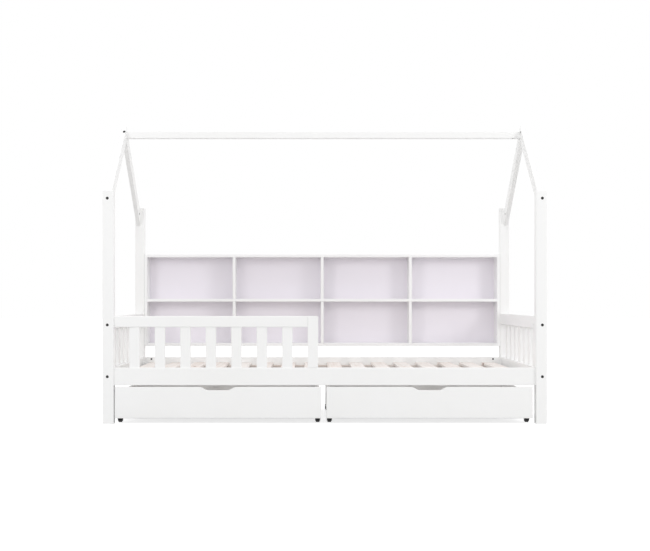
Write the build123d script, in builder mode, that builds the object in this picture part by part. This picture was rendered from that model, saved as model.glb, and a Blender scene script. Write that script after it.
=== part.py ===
import os
from math import cos, atan2

from build123d import *

os.makedirs("parts", exist_ok=True)

# A child's house bed of painted wood, in millimetres. X runs along the bed, with the
# guard rail at the left, -X, end of the front. +Y points to the wall behind the bed and
# +Z is up. The origin is on the floor, in the middle of the footprint.

# Corner posts and the roof they carry
FRAME_LENGTH = 2020.0
FRAME_DEPTH = 1070.0
POST_SIZE = 50.0
POST_HEIGHT = 1060.0
PEAK_HEIGHT = 1430.0
RAFTER_THICKNESS = 22.0
RAFTER_WIDTH = 60.0
RAFTER_INSET = 7.0
RAFTER_DROP = 19.0
RIDGE_HEIGHT = 34.0
RIDGE_WIDTH = 32.0
RIDGE_DROP = 28.0

# Rails, end panels and guard rail
RAIL_BOTTOM = 175.0
RAIL_HEIGHT = 80.0
RAIL_THICKNESS = 25.0
RAIL_SETBACK = 12.0
PANEL_TOP = 490.0
END_RAIL_THICKNESS = 40.0
END_RAIL_SETBACK = 5.0
END_TOP_RAIL_HEIGHT = 57.0
SLAT_WIDTH = 47.0
SLAT_THICKNESS = 18.0
END_SLAT_COUNT = 7
GUARD_LENGTH = 930.0
GUARD_RAIL_HEIGHT = 50.0
GUARD_STILE_WIDTH = 48.0
GUARD_CORNER_RADIUS = 6.0
GUARD_SLAT_COUNT = 7
MORTISE_DEPTH = 10.0
TENON_THICKNESS = 12.0
TENON_WIDTH = 30.0

# Bed base
BASE_SLAT_WIDTH = 70.0
BASE_SLAT_THICKNESS = 15.0
BASE_SLAT_COUNT = 16
BASE_SLAT_END_GAP = 29.0
BASE_SLAT_TOP = 227.5
CLEAT_SIZE = 25.0
CLEAT_END_GAP = 60.0

# Bookcase between the rear posts
BOARD = 15.0
BOOKCASE_DEPTH = 120.0
BOOKCASE_BOTTOM = 315.0
BOOKCASE_HEIGHT = 495.0
BAY_COUNT = 4
BACK_THICKNESS = 5.0

# Two drawers on castors
DRAWER_FRONT_BOTTOM = 24.5
DRAWER_FRONT_HEIGHT = 143.0
DRAWER_BOARD = 18.0
DRAWER_BOX_LENGTH = 720.0
DRAWER_BOX_BOTTOM = 30.0
DRAWER_BOX_HEIGHT = 112.0
DRAWER_SIDE_INSET = 6.0
DRAWER_LEFT_GAP = 3.0
DRAWER_MIDDLE_GAP = 24.0
DRAWER_RIGHT_GAP = 13.0
DRAWER_BOTTOM_THICKNESS = 4.0
DRAWER_BOTTOM_RAISE = 10.0
GROOVE_DEPTH = 6.0
GRIP_TOP_WIDTH = 155.0
GRIP_BOTTOM_WIDTH = 100.0
GRIP_DEPTH = 15.0
GRIP_CORNER_RADIUS = 10.0
GRIP_LIP_RADIUS = 5.0

# Drawer castors
WHEEL_RADIUS = 12.0
WHEEL_WIDTH = 18.0
WHEEL_SIDE_GAP = 0.6
WHEEL_EDGE_RADIUS = 4.0
FORK_CHEEK = 2.4
FORK_PLATE = 3.0
FORK_LENGTH = 32.0
FORK_EYE_RADIUS = 6.0
FORK_PEG_RADIUS = 4.0
FORK_PEG_LENGTH = 9.0
CASTOR_INSET = 60.0
AXLE_RADIUS = 2.0

# Fasteners
BOLT_RADIUS = 3.0
BOLT_HEAD_RADIUS = 6.5
BOLT_HEAD_HEIGHT = 2.2
BOLT_SOCKET_RADIUS = 2.3
BOLT_SOCKET_DEPTH = 1.6
BOLT_SEAT_DEPTH = 2.5
FRAME_BOLT_LENGTH = 90.0
ROOF_BOLT_LENGTH = 60.0
BOLT_INSET = 22.0
NUT_RADIUS = 5.0
NUT_LENGTH = 16.0
NUT_DISTANCE = 36.0
RAFTER_BOLT_DROP = 34.0
END_TOP_BOLT_HEIGHT = 450.0
SIDE_RAIL_BOLT_RISE = 10.0
SIDE_RAIL_BOLT_SPREAD = 39.0
RIDGE_BOLT_SPREAD = 15.0
APEX_BOLT_DROP = 32.0
APEX_BOLT_SEAT = 28.0
DOWEL_RADIUS = 4.0
DOWEL_LENGTH = 36.0
RAIL_DOWEL_RISE = 24.0
RAFTER_DOWEL_DROP = 30.0
SLAT_SCREW_RADIUS = 1.75
SLAT_SCREW_HEAD_RADIUS = 3.5
SLAT_SCREW_LENGTH = 28.0
CASE_SCREW_RADIUS = 2.0
CASE_SCREW_HEAD_RADIUS = 4.0
CASE_SCREW_LENGTH = 38.0
CASE_SCREW_END_GAP = 60.0

# Roundings and clearances
EDGE_RADIUS = 3.0
THIN_EDGE_RADIUS = 1.5
JOINT_CLEARANCE = 0.2
BOLT_CLEARANCE = 0.25
NUT_CLEARANCE = 0.15
THREAD_CLEARANCE = 0.05
AXLE_CLEARANCE = 0.08
PRESS_CLEARANCE = 0.03
CASE_CLEARANCE = 0.5
SLAT_END_CLEARANCE = 2.0
BOLT_TIP_ROOM = 3.0

# Places that follow from the sizes
X_OUT = FRAME_LENGTH / 2
X_IN = X_OUT - POST_SIZE
Y_FRONT = -(FRAME_DEPTH + BOOKCASE_DEPTH - POST_SIZE) / 2
Y_REAR = Y_FRONT + FRAME_DEPTH
Y_RIDGE = Y_FRONT + FRAME_DEPTH / 2
RAIL_TOP = RAIL_BOTTOM + RAIL_HEIGHT
RAIL_MIDDLE = RAIL_BOTTOM + RAIL_HEIGHT / 2
FRONT_RAIL_Y = (Y_FRONT + RAIL_SETBACK, Y_FRONT + RAIL_SETBACK + RAIL_THICKNESS)
REAR_RAIL_Y = (Y_REAR - RAIL_SETBACK - RAIL_THICKNESS, Y_REAR - RAIL_SETBACK)
FRONT_RAIL_LINE = sum(FRONT_RAIL_Y) / 2
REAR_RAIL_LINE = sum(REAR_RAIL_Y) / 2
END_RAIL_OUT = X_OUT - END_RAIL_SETBACK
END_RAIL_IN = END_RAIL_OUT - END_RAIL_THICKNESS
END_RAIL_LINE = (END_RAIL_OUT + END_RAIL_IN) / 2
RAFTER_OUT = X_OUT - RAFTER_INSET
RAFTER_IN = RAFTER_OUT - RAFTER_THICKNESS
BOLT_LINE = X_OUT - BOLT_INSET


def export(piece, name):
    """Label a finished piece and write it under its node's name."""
    piece.part.label = name
    export_step(piece.part, f"parts/{name}.step")


def middle(span):
    return (span[0] + span[1]) / 2


def outward(span, side):
    """The span mirrored to the left end where side is -1."""
    return tuple(sorted((side * span[0], side * span[1])))


def block(x, y, z):
    """Add a rectangular board that fills three spans."""
    with BuildSketch(Plane.XY.offset(z[0])) as outline:
        with Locations((middle(x), middle(y))):
            Rectangle(x[1] - x[0], y[1] - y[0])
    extrude(outline.sketch, amount=z[1] - z[0])


def pocket(x, y, z):
    """Cut a rectangular mortise, groove or notch that fills three spans."""
    with Locations((middle(x), middle(y), middle(z))):
        Box(x[1] - x[0], y[1] - y[0], z[1] - z[0], mode=Mode.SUBTRACT)


def spaced(low, high, width, count):
    """Middles of count strips of one width, with equal gaps between low and high."""
    gap = (high - low - count * width) / (count + 1)
    return [low + gap + width / 2 + i * (gap + width) for i in range(count)]


class BoltedJoint:
    """A bolt through one piece into a barrel nut that lies across the next piece."""

    def __init__(self, head, inward, reach, mouth, mouth_distance, length, seat=BOLT_SEAT_DEPTH):
        self.inward = Vector(*inward)
        self.head = Vector(*head)
        self.nut = self.head + self.inward * reach
        self.mouth = Vector(*mouth)
        self.mouth_distance = mouth_distance
        self.length = length
        self.seat = seat

    def head_plane(self):
        return Plane(origin=self.head, z_dir=self.inward * -1)

    def seat_plane(self):
        return Plane(origin=self.head + self.inward * self.seat, z_dir=self.inward * -1)

    def cut(self):
        """Cut the bolt's hole, its head's seat and the nut's bore from a piece."""
        with Locations(self.head_plane()):
            CounterBoreHole(
                radius=BOLT_RADIUS + BOLT_CLEARANCE,
                counter_bore_radius=BOLT_HEAD_RADIUS + BOLT_CLEARANCE,
                counter_bore_depth=self.seat,
                depth=self.seat + self.length + BOLT_TIP_ROOM,
            )
        mouth_point = self.nut + self.mouth * self.mouth_distance
        with Locations(Plane(origin=mouth_point, z_dir=self.mouth)):
            Hole(NUT_RADIUS + NUT_CLEARANCE, depth=self.mouth_distance + NUT_LENGTH / 2)


class Dowel:
    """A wooden dowel, half in each of two pieces that meet at a face."""

    def __init__(self, middle_point, direction):
        self.plane = Plane(origin=middle_point, z_dir=direction)

    def cut(self):
        with Locations(self.plane):
            Cylinder(
                DOWEL_RADIUS + PRESS_CLEARANCE,
                DOWEL_LENGTH + 2 * JOINT_CLEARANCE,
                mode=Mode.SUBTRACT,
            )


# Bolted and dowelled joints between the posts and the pieces that meet them. An end is
# named by its side, -1 for the left end of the bed, and its row, -1 for the front.
END_BOTTOM_BOLT_HEIGHT = RAIL_MIDDLE
RAFTER_BOLT_HEIGHT = POST_HEIGHT - RAFTER_BOLT_DROP
ends = [(side, row) for side in (-1, 1) for row in (-1, 1)]
end_top_joints, end_bottom_joints, rafter_joints, side_rail_joints = {}, {}, {}, {}
end_top_dowels, end_bottom_dowels, rafter_dowels = {}, {}, {}
for side, row in ends:
    face_y = Y_FRONT if row < 0 else Y_REAR
    inner_face_y = face_y - row * POST_SIZE
    bolt_x = side * BOLT_LINE
    rail_y = FRONT_RAIL_LINE if row < 0 else REAR_RAIL_LINE

    def end_joint(height, inner_face_x):
        return BoltedJoint(
            (bolt_x, face_y, height),
            (0, -row, 0),
            POST_SIZE + NUT_DISTANCE,
            (-side, 0, 0),
            BOLT_LINE - inner_face_x,
            FRAME_BOLT_LENGTH,
        )

    end_top_joints[side, row] = end_joint(END_TOP_BOLT_HEIGHT, END_RAIL_IN)
    end_bottom_joints[side, row] = end_joint(END_BOTTOM_BOLT_HEIGHT, END_RAIL_IN)
    rafter_joints[side, row] = end_joint(RAFTER_BOLT_HEIGHT, RAFTER_IN)
    side_rail_joints[side, row] = [
        BoltedJoint(
            (side * X_OUT, rail_y, RAIL_MIDDLE + SIDE_RAIL_BOLT_RISE + rise),
            (-side, 0, 0),
            POST_SIZE + NUT_DISTANCE,
            (0, -row, 0),
            RAIL_THICKNESS / 2,
            FRAME_BOLT_LENGTH,
        )
        for rise in (-SIDE_RAIL_BOLT_SPREAD / 2, SIDE_RAIL_BOLT_SPREAD / 2)
    ]
    end_top_dowels[side, row] = Dowel(
        (bolt_x, inner_face_y, END_TOP_BOLT_HEIGHT + RAIL_DOWEL_RISE), (0, 1, 0)
    )
    end_bottom_dowels[side, row] = Dowel(
        (bolt_x, inner_face_y, END_BOTTOM_BOLT_HEIGHT + RAIL_DOWEL_RISE), (0, 1, 0)
    )
    rafter_dowels[side, row] = Dowel(
        (bolt_x, inner_face_y, RAFTER_BOLT_HEIGHT - RAFTER_DOWEL_DROP), (0, 1, 0)
    )

guard_joint = BoltedJoint(
    (-X_OUT, FRONT_RAIL_LINE, PANEL_TOP - GUARD_RAIL_HEIGHT / 2),
    (1, 0, 0),
    POST_SIZE + NUT_DISTANCE,
    (0, 1, 0),
    RAIL_THICKNESS / 2,
    FRAME_BOLT_LENGTH,
)

# Joints of the roof. A rafter's lower end stands against its post and its upper end is
# mitred against its partner, so both ends are cut upright.
RIDGE_TOP = PEAK_HEIGHT - RIDGE_DROP
RIDGE_MIDDLE = RIDGE_TOP - RIDGE_HEIGHT / 2
rafter_rise = PEAK_HEIGHT - (POST_HEIGHT - RAFTER_DROP)
rafter_run = FRAME_DEPTH / 2 - POST_SIZE
rafter_upright = RAFTER_WIDTH / cos(atan2(rafter_rise, rafter_run))
ridge_joints = {
    (side, row): BoltedJoint(
        (side * RAFTER_OUT, Y_RIDGE + row * RIDGE_BOLT_SPREAD / 2, RIDGE_MIDDLE),
        (-side, 0, 0),
        RAFTER_THICKNESS + NUT_DISTANCE,
        (0, 0, -1),
        RIDGE_HEIGHT / 2,
        ROOF_BOLT_LENGTH,
    )
    for side, row in ends
}
# The left gable's peak bolt goes in from the front and the right gable's from the back,
# because the two gables are the same piece turned round.
apex_surface = APEX_BOLT_DROP * rafter_run / rafter_rise
apex_joints = {
    side: BoltedJoint(
        (side * BOLT_LINE, Y_RIDGE + side * (apex_surface + POST_SIZE / 2), PEAK_HEIGHT - APEX_BOLT_DROP),
        (0, -side, 0),
        apex_surface + POST_SIZE / 2 + ROOF_BOLT_LENGTH - APEX_BOLT_SEAT - NUT_RADIUS * 2,
        (-side, 0, 0),
        BOLT_LINE - RAFTER_IN,
        ROOF_BOLT_LENGTH,
        apex_surface + POST_SIZE / 2 - APEX_BOLT_SEAT,
    )
    for side in (-1, 1)
}

# Corner posts: square, with eased edges, and drilled for the rails that meet them
post_names = {
    (-1, -1): "front_left_post",
    (1, -1): "front_right_post",
    (-1, 1): "rear_left_post",
    (1, 1): "rear_right_post",
}
bookcase_front = Y_REAR - POST_SIZE
case_screw_heights = [
    BOOKCASE_BOTTOM + CASE_SCREW_END_GAP,
    BOOKCASE_BOTTOM + BOOKCASE_HEIGHT / 2 - CASE_SCREW_END_GAP,
    BOOKCASE_BOTTOM + BOOKCASE_HEIGHT - CASE_SCREW_END_GAP,
]
CASE_OUT = X_IN - CASE_CLEARANCE
CASE_IN = CASE_OUT - BOARD


def case_screw_planes(side):
    """Where the screws that hold the bookcase start, on the inner face of its side."""
    return [
        Plane(
            origin=(side * CASE_IN, bookcase_front + POST_SIZE / 2, height),
            z_dir=(-side, 0, 0),
        )
        for height in case_screw_heights
    ]


for side, row in ends:
    post_y = (Y_FRONT, Y_FRONT + POST_SIZE) if row < 0 else (Y_REAR - POST_SIZE, Y_REAR)
    with BuildPart() as post:
        block(outward((X_IN, X_OUT), side), post_y, (0, POST_HEIGHT))
        fillet(post.edges().filter_by(Axis.Z), EDGE_RADIUS)
        fillet(post.faces().sort_by(Axis.Z)[-1].edges(), THIN_EDGE_RADIUS)
        end_top_joints[side, row].cut()
        end_bottom_joints[side, row].cut()
        rafter_joints[side, row].cut()
        for joint in side_rail_joints[side, row]:
            joint.cut()
        if (side, row) == (-1, -1):
            guard_joint.cut()
        end_top_dowels[side, row].cut()
        end_bottom_dowels[side, row].cut()
        rafter_dowels[side, row].cut()
        if row > 0:
            with Locations(case_screw_planes(side)):
                Hole(CASE_SCREW_RADIUS + THREAD_CLEARANCE, depth=CASE_SCREW_LENGTH + JOINT_CLEARANCE)
    export(post, post_names[side, row])

# Rafters: two boards a gable, each against its post at the foot and mitred at the peak
for side, row in ends:
    foot_y = Y_RIDGE + row * rafter_run
    foot_z = POST_HEIGHT - RAFTER_DROP
    with BuildPart() as rafter:
        with BuildSketch(Plane.YZ.offset(side * (RAFTER_OUT + RAFTER_IN) / 2)):
            Polygon(
                (foot_y, foot_z),
                (Y_RIDGE, PEAK_HEIGHT),
                (Y_RIDGE, PEAK_HEIGHT - rafter_upright),
                (foot_y, foot_z - rafter_upright),
                align=None,
            )
        extrude(amount=RAFTER_THICKNESS / 2, both=True)
        upright_edges = rafter.edges().filter_by(Axis.Z)
        cross_edges = rafter.edges().filter_by(Axis.X)
        slope_edges = rafter.edges() - upright_edges - cross_edges
        fillet(slope_edges, EDGE_RADIUS)
        rafter_joints[side, row].cut()
        ridge_joints[side, row].cut()
        apex_joints[side].cut()
        rafter_dowels[side, row].cut()
    row_name = "front" if row < 0 else "rear"
    side_name = "left" if side < 0 else "right"
    export(rafter, f"{row_name}_{side_name}_rafter")

# Ridge beam: runs between the inner faces of the two gables
with BuildPart() as ridge_beam:
    block(
        (-RAFTER_IN, RAFTER_IN),
        (Y_RIDGE - RIDGE_WIDTH / 2, Y_RIDGE + RIDGE_WIDTH / 2),
        (RIDGE_TOP - RIDGE_HEIGHT, RIDGE_TOP),
    )
    fillet(ridge_beam.edges().filter_by(Axis.X), EDGE_RADIUS)
    for joint in ridge_joints.values():
        joint.cut()
export(ridge_beam, "ridge_beam")

# End panels: a top and a bottom rail between the posts, with upright slats let into both
end_y = (Y_FRONT + POST_SIZE, Y_REAR - POST_SIZE)
end_slat_lines = spaced(end_y[0], end_y[1], SLAT_WIDTH, END_SLAT_COUNT)
end_top_z = (PANEL_TOP - END_TOP_RAIL_HEIGHT, PANEL_TOP)
mortise_half_width = SLAT_WIDTH / 2 + JOINT_CLEARANCE
mortise_half_thickness = SLAT_THICKNESS / 2 + JOINT_CLEARANCE
for side in (-1, 1):
    side_name = "left" if side < 0 else "right"
    rail_x = outward((END_RAIL_IN, END_RAIL_OUT), side)
    slat_line_x = side * END_RAIL_LINE
    mortise_x = (slat_line_x - mortise_half_thickness, slat_line_x + mortise_half_thickness)
    rails = [
        ("top", end_top_z, end_top_joints, end_top_dowels, (end_top_z[0], end_top_z[0] + MORTISE_DEPTH)),
        (
            "bottom",
            (RAIL_BOTTOM, RAIL_TOP),
            end_bottom_joints,
            end_bottom_dowels,
            (RAIL_TOP - MORTISE_DEPTH, RAIL_TOP),
        ),
    ]
    for rail_name, rail_z, joints, dowels, mortise_z in rails:
        with BuildPart() as end_rail:
            block(rail_x, end_y, rail_z)
            fillet(end_rail.edges().filter_by(Axis.Y), EDGE_RADIUS)
            for slat_y in end_slat_lines:
                pocket(mortise_x, (slat_y - mortise_half_width, slat_y + mortise_half_width), mortise_z)
            for row in (-1, 1):
                joints[side, row].cut()
                dowels[side, row].cut()
        export(end_rail, f"{side_name}_end_{rail_name}_rail")

    slat_z = (RAIL_TOP - MORTISE_DEPTH, end_top_z[0] + MORTISE_DEPTH)
    with BuildPart() as end_slats:
        for slat_y in end_slat_lines:
            block(
                (slat_line_x - SLAT_THICKNESS / 2, slat_line_x + SLAT_THICKNESS / 2),
                (slat_y - SLAT_WIDTH / 2, slat_y + SLAT_WIDTH / 2),
                slat_z,
            )
        fillet(end_slats.edges().filter_by(Axis.Z), EDGE_RADIUS)
    export(end_slats, f"{side_name}_end_slats")

# Side rails: boards on edge between the posts. The front one also carries the guard rail.
STILE_X = (-X_IN + GUARD_LENGTH - GUARD_STILE_WIDTH, -X_IN + GUARD_LENGTH)
guard_slat_lines = spaced(-X_IN, STILE_X[0], SLAT_WIDTH, GUARD_SLAT_COUNT)
guard_mortise_y = (FRONT_RAIL_LINE - mortise_half_thickness, FRONT_RAIL_LINE + mortise_half_thickness)
tenon_y = (FRONT_RAIL_LINE - TENON_THICKNESS / 2, FRONT_RAIL_LINE + TENON_THICKNESS / 2)
tenon_x = (middle(STILE_X) - TENON_WIDTH / 2, middle(STILE_X) + TENON_WIDTH / 2)
for row, rail_y, rail_name in ((-1, FRONT_RAIL_Y, "front"), (1, REAR_RAIL_Y, "rear")):
    with BuildPart() as side_rail:
        block((-X_IN, X_IN), rail_y, (RAIL_BOTTOM, RAIL_TOP))
        fillet(side_rail.edges().filter_by(Axis.X), EDGE_RADIUS)
        for side in (-1, 1):
            for joint in side_rail_joints[side, row]:
                joint.cut()
        if row < 0:
            mortise_z = (RAIL_TOP - MORTISE_DEPTH, RAIL_TOP)
            for slat_x in guard_slat_lines:
                pocket(
                    (slat_x - mortise_half_width, slat_x + mortise_half_width),
                    guard_mortise_y,
                    mortise_z,
                )
            pocket(
                (tenon_x[0] - JOINT_CLEARANCE, tenon_x[1] + JOINT_CLEARANCE),
                (tenon_y[0] - JOINT_CLEARANCE, tenon_y[1] + JOINT_CLEARANCE),
                mortise_z,
            )
    export(side_rail, f"{rail_name}_side_rail")

# Guard rail: a top rail tenoned into an end stile, and slats let into both long rails
guard_rail_z = (PANEL_TOP - GUARD_RAIL_HEIGHT, PANEL_TOP)
rail_tenon_z = (middle(guard_rail_z) - TENON_WIDTH / 2, middle(guard_rail_z) + TENON_WIDTH / 2)
with BuildPart() as guard_top_rail:
    block((-X_IN, STILE_X[0]), FRONT_RAIL_Y, guard_rail_z)
    fillet(guard_top_rail.edges().filter_by(Axis.X), EDGE_RADIUS)
    for slat_x in guard_slat_lines:
        pocket(
            (slat_x - mortise_half_width, slat_x + mortise_half_width),
            guard_mortise_y,
            (guard_rail_z[0], guard_rail_z[0] + MORTISE_DEPTH),
        )
    block((STILE_X[0], STILE_X[0] + MORTISE_DEPTH - JOINT_CLEARANCE), tenon_y, rail_tenon_z)
    guard_joint.cut()
export(guard_top_rail, "guard_top_rail")

with BuildPart() as guard_end_stile:
    block(STILE_X, FRONT_RAIL_Y, (RAIL_TOP, PANEL_TOP))
    top_corner = guard_end_stile.edges().filter_by(Axis.Y).group_by(Axis.Z)[-1].sort_by(Axis.X)[-1]
    fillet(top_corner, GUARD_CORNER_RADIUS)
    outline_edges = guard_end_stile.faces().sort_by(Axis.Y)[0].edges()
    outline_edges += guard_end_stile.faces().sort_by(Axis.Y)[-1].edges()
    fillet(outline_edges - outline_edges.group_by(Axis.Z)[0], EDGE_RADIUS)
    pocket(
        (STILE_X[0], STILE_X[0] + MORTISE_DEPTH),
        (tenon_y[0] - JOINT_CLEARANCE, tenon_y[1] + JOINT_CLEARANCE),
        (rail_tenon_z[0] - JOINT_CLEARANCE, rail_tenon_z[1] + JOINT_CLEARANCE),
    )
    block(tenon_x, tenon_y, (RAIL_TOP - MORTISE_DEPTH + JOINT_CLEARANCE, RAIL_TOP))
export(guard_end_stile, "guard_end_stile")

with BuildPart() as guard_slats:
    for slat_x in guard_slat_lines:
        block(
            (slat_x - SLAT_WIDTH / 2, slat_x + SLAT_WIDTH / 2),
            (FRONT_RAIL_LINE - SLAT_THICKNESS / 2, FRONT_RAIL_LINE + SLAT_THICKNESS / 2),
            (RAIL_TOP - MORTISE_DEPTH, guard_rail_z[0] + MORTISE_DEPTH),
        )
    fillet(guard_slats.edges().filter_by(Axis.Z), EDGE_RADIUS)
export(guard_slats, "guard_slats")

# Bed base: loose slats across the bed, screwed to a cleat along each side rail
cleat_z = (BASE_SLAT_TOP - BASE_SLAT_THICKNESS - CLEAT_SIZE, BASE_SLAT_TOP - BASE_SLAT_THICKNESS)
cleat_rows = {
    "front": (FRONT_RAIL_Y[1], FRONT_RAIL_Y[1] + CLEAT_SIZE),
    "rear": (REAR_RAIL_Y[0] - CLEAT_SIZE, REAR_RAIL_Y[0]),
}
base_slat_span = 2 * (X_IN - BASE_SLAT_END_GAP) - BASE_SLAT_WIDTH
base_slat_pitch = base_slat_span / (BASE_SLAT_COUNT - 1)
base_slat_lines = [(i - (BASE_SLAT_COUNT - 1) / 2) * base_slat_pitch for i in range(BASE_SLAT_COUNT)]
slat_screw_planes = [
    Plane(origin=(x, middle(cleat_y), BASE_SLAT_TOP), z_dir=(0, 0, 1))
    for cleat_y in cleat_rows.values()
    for x in base_slat_lines
]
for row_name, cleat_y in cleat_rows.items():
    with BuildPart() as slat_cleat:
        block((-X_IN + CLEAT_END_GAP, X_IN - CLEAT_END_GAP), cleat_y, cleat_z)
        fillet(slat_cleat.edges().filter_by(Axis.X), THIN_EDGE_RADIUS)
        with Locations(slat_screw_planes):
            Hole(SLAT_SCREW_RADIUS + THREAD_CLEARANCE, depth=SLAT_SCREW_LENGTH + JOINT_CLEARANCE)
    export(slat_cleat, f"{row_name}_slat_cleat")

with BuildPart() as bed_slats:
    for slat_x in base_slat_lines:
        block(
            (slat_x - BASE_SLAT_WIDTH / 2, slat_x + BASE_SLAT_WIDTH / 2),
            (FRONT_RAIL_Y[1] + SLAT_END_CLEARANCE, REAR_RAIL_Y[0] - SLAT_END_CLEARANCE),
            (BASE_SLAT_TOP - BASE_SLAT_THICKNESS, BASE_SLAT_TOP),
        )
    fillet(bed_slats.edges().filter_by(Axis.Y), EDGE_RADIUS)
    with Locations(slat_screw_planes):
        CounterSinkHole(
            radius=SLAT_SCREW_RADIUS + THREAD_CLEARANCE,
            counter_sink_radius=SLAT_SCREW_HEAD_RADIUS + THREAD_CLEARANCE,
            depth=SLAT_SCREW_LENGTH + JOINT_CLEARANCE,
        )
export(bed_slats, "bed_slats")

# Bookcase: two sides, top and bottom boards, a long shelf half-lapped over three dividers,
# and a thin back nailed on behind
case_z = (BOOKCASE_BOTTOM, BOOKCASE_BOTTOM + BOOKCASE_HEIGHT)
case_y = (bookcase_front, bookcase_front + BOOKCASE_DEPTH - BACK_THICKNESS)
inside_z = (case_z[0] + BOARD, case_z[1] - BOARD)
shelf_z = (middle(case_z) - BOARD / 2, middle(case_z) + BOARD / 2)
divider_lines = spaced(-CASE_IN, CASE_IN, BOARD, BAY_COUNT - 1)
lap_y = middle(case_y)
for side in (-1, 1):
    side_name = "left" if side < 0 else "right"
    with BuildPart() as case_side:
        block(outward((CASE_IN, CASE_OUT), side), case_y, case_z)
        fillet(case_side.faces().sort_by(Axis.Y)[0].edges(), THIN_EDGE_RADIUS)
        with Locations(case_screw_planes(side)):
            CounterSinkHole(
                radius=CASE_SCREW_RADIUS + THREAD_CLEARANCE,
                counter_sink_radius=CASE_SCREW_HEAD_RADIUS + THREAD_CLEARANCE,
                depth=CASE_SCREW_LENGTH,
            )
    export(case_side, f"bookcase_{side_name}_side")

for board_name, board_z in (
    ("top", (inside_z[1], case_z[1])),
    ("bottom", (case_z[0], inside_z[0])),
):
    with BuildPart() as case_board:
        block((-CASE_IN, CASE_IN), case_y, board_z)
        front_face = case_board.faces().sort_by(Axis.Y)[0]
        fillet(front_face.edges().filter_by(Axis.X), THIN_EDGE_RADIUS)
    export(case_board, f"bookcase_{board_name}")

with BuildPart() as bookcase_shelf:
    block((-CASE_IN, CASE_IN), case_y, shelf_z)
    front_face = bookcase_shelf.faces().sort_by(Axis.Y)[0]
    fillet(front_face.edges().filter_by(Axis.X), THIN_EDGE_RADIUS)
    for line in divider_lines:
        lap_x = (line - BOARD / 2 - JOINT_CLEARANCE, line + BOARD / 2 + JOINT_CLEARANCE)
        pocket(lap_x, (lap_y, case_y[1]), shelf_z)
export(bookcase_shelf, "bookcase_shelf")

for number, line in enumerate(divider_lines, start=1):
    with BuildPart() as divider:
        block((line - BOARD / 2, line + BOARD / 2), case_y, inside_z)
        front_face = divider.faces().sort_by(Axis.Y)[0]
        fillet(front_face.edges().filter_by(Axis.Z), THIN_EDGE_RADIUS)
        pocket(
            (line - BOARD / 2, line + BOARD / 2),
            (case_y[0], lap_y),
            (shelf_z[0] - JOINT_CLEARANCE, shelf_z[1] + JOINT_CLEARANCE),
        )
    export(divider, f"bookcase_divider_{number}")

with BuildPart() as bookcase_back:
    block((-CASE_OUT, CASE_OUT), (case_y[1], case_y[1] + BACK_THICKNESS), case_z)
export(bookcase_back, "bookcase_back")

# One castor, with its axle at the height of its radius over the floor and its peg pointing
# up into the drawer's side. It is made at X and Y of zero and copied to each corner.
fork_half_width = WHEEL_WIDTH / 2 + WHEEL_SIDE_GAP + FORK_CHEEK
axle_plane = Plane.YZ.offset(-fork_half_width)
with BuildPart() as castor_fork:
    with BuildSketch(axle_plane):
        with BuildLine():
            side_line = Polyline(
                (-FORK_EYE_RADIUS, WHEEL_RADIUS),
                (-FORK_LENGTH / 2, DRAWER_BOX_BOTTOM - FORK_PLATE),
                (-FORK_LENGTH / 2, DRAWER_BOX_BOTTOM),
                (FORK_LENGTH / 2, DRAWER_BOX_BOTTOM),
                (FORK_LENGTH / 2, DRAWER_BOX_BOTTOM - FORK_PLATE),
                (FORK_EYE_RADIUS, WHEEL_RADIUS),
            )
            ThreePointArc(
                side_line @ 1, (0, WHEEL_RADIUS - FORK_EYE_RADIUS), side_line @ 0
            )
        make_face()
    extrude(amount=2 * fork_half_width)
    pocket(
        (-WHEEL_WIDTH / 2 - WHEEL_SIDE_GAP, WHEEL_WIDTH / 2 + WHEEL_SIDE_GAP),
        (-FORK_LENGTH, FORK_LENGTH),
        (0, DRAWER_BOX_BOTTOM - FORK_PLATE),
    )
    with Locations(Plane(origin=(fork_half_width, 0, WHEEL_RADIUS), z_dir=(1, 0, 0))):
        Hole(AXLE_RADIUS + PRESS_CLEARANCE, depth=2 * fork_half_width)
    with BuildSketch(Plane.XY.offset(DRAWER_BOX_BOTTOM)):
        Circle(FORK_PEG_RADIUS)
    extrude(amount=FORK_PEG_LENGTH)

with BuildPart() as castor_axle:
    with BuildSketch(axle_plane):
        with Locations((0, WHEEL_RADIUS)):
            Circle(AXLE_RADIUS)
    extrude(amount=2 * fork_half_width)

with BuildPart() as castor_wheel:
    with BuildSketch(Plane.YZ.offset(-WHEEL_WIDTH / 2)):
        with Locations((0, WHEEL_RADIUS)):
            Circle(WHEEL_RADIUS)
    extrude(amount=WHEEL_WIDTH)
    fillet(castor_wheel.edges(), WHEEL_EDGE_RADIUS)
    with Locations(Plane(origin=(WHEEL_WIDTH / 2, 0, WHEEL_RADIUS), z_dir=(1, 0, 0))):
        Hole(AXLE_RADIUS + AXLE_CLEARANCE, depth=WHEEL_WIDTH)

# Drawers: open boxes behind a wider front with a finger grip cut in its top edge
front_z = (DRAWER_FRONT_BOTTOM, DRAWER_FRONT_BOTTOM + DRAWER_FRONT_HEIGHT)
front_y = (FRONT_RAIL_Y[0], FRONT_RAIL_Y[0] + DRAWER_BOARD)
box_y = (front_y[1], front_y[1] + DRAWER_BOX_LENGTH)
box_z = (DRAWER_BOX_BOTTOM, DRAWER_BOX_BOTTOM + DRAWER_BOX_HEIGHT)
bottom_z = (box_z[0] + DRAWER_BOTTOM_RAISE, box_z[0] + DRAWER_BOTTOM_RAISE + DRAWER_BOTTOM_THICKNESS)
groove_z = (bottom_z[0] - JOINT_CLEARANCE, bottom_z[1] + JOINT_CLEARANCE)
castor_lines_y = (box_y[0] + CASTOR_INSET, box_y[1] - CASTOR_INSET)
drawer_width = (2 * X_IN - DRAWER_LEFT_GAP - DRAWER_MIDDLE_GAP - DRAWER_RIGHT_GAP) / 2
left_drawer_x = -X_IN + DRAWER_LEFT_GAP
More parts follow.
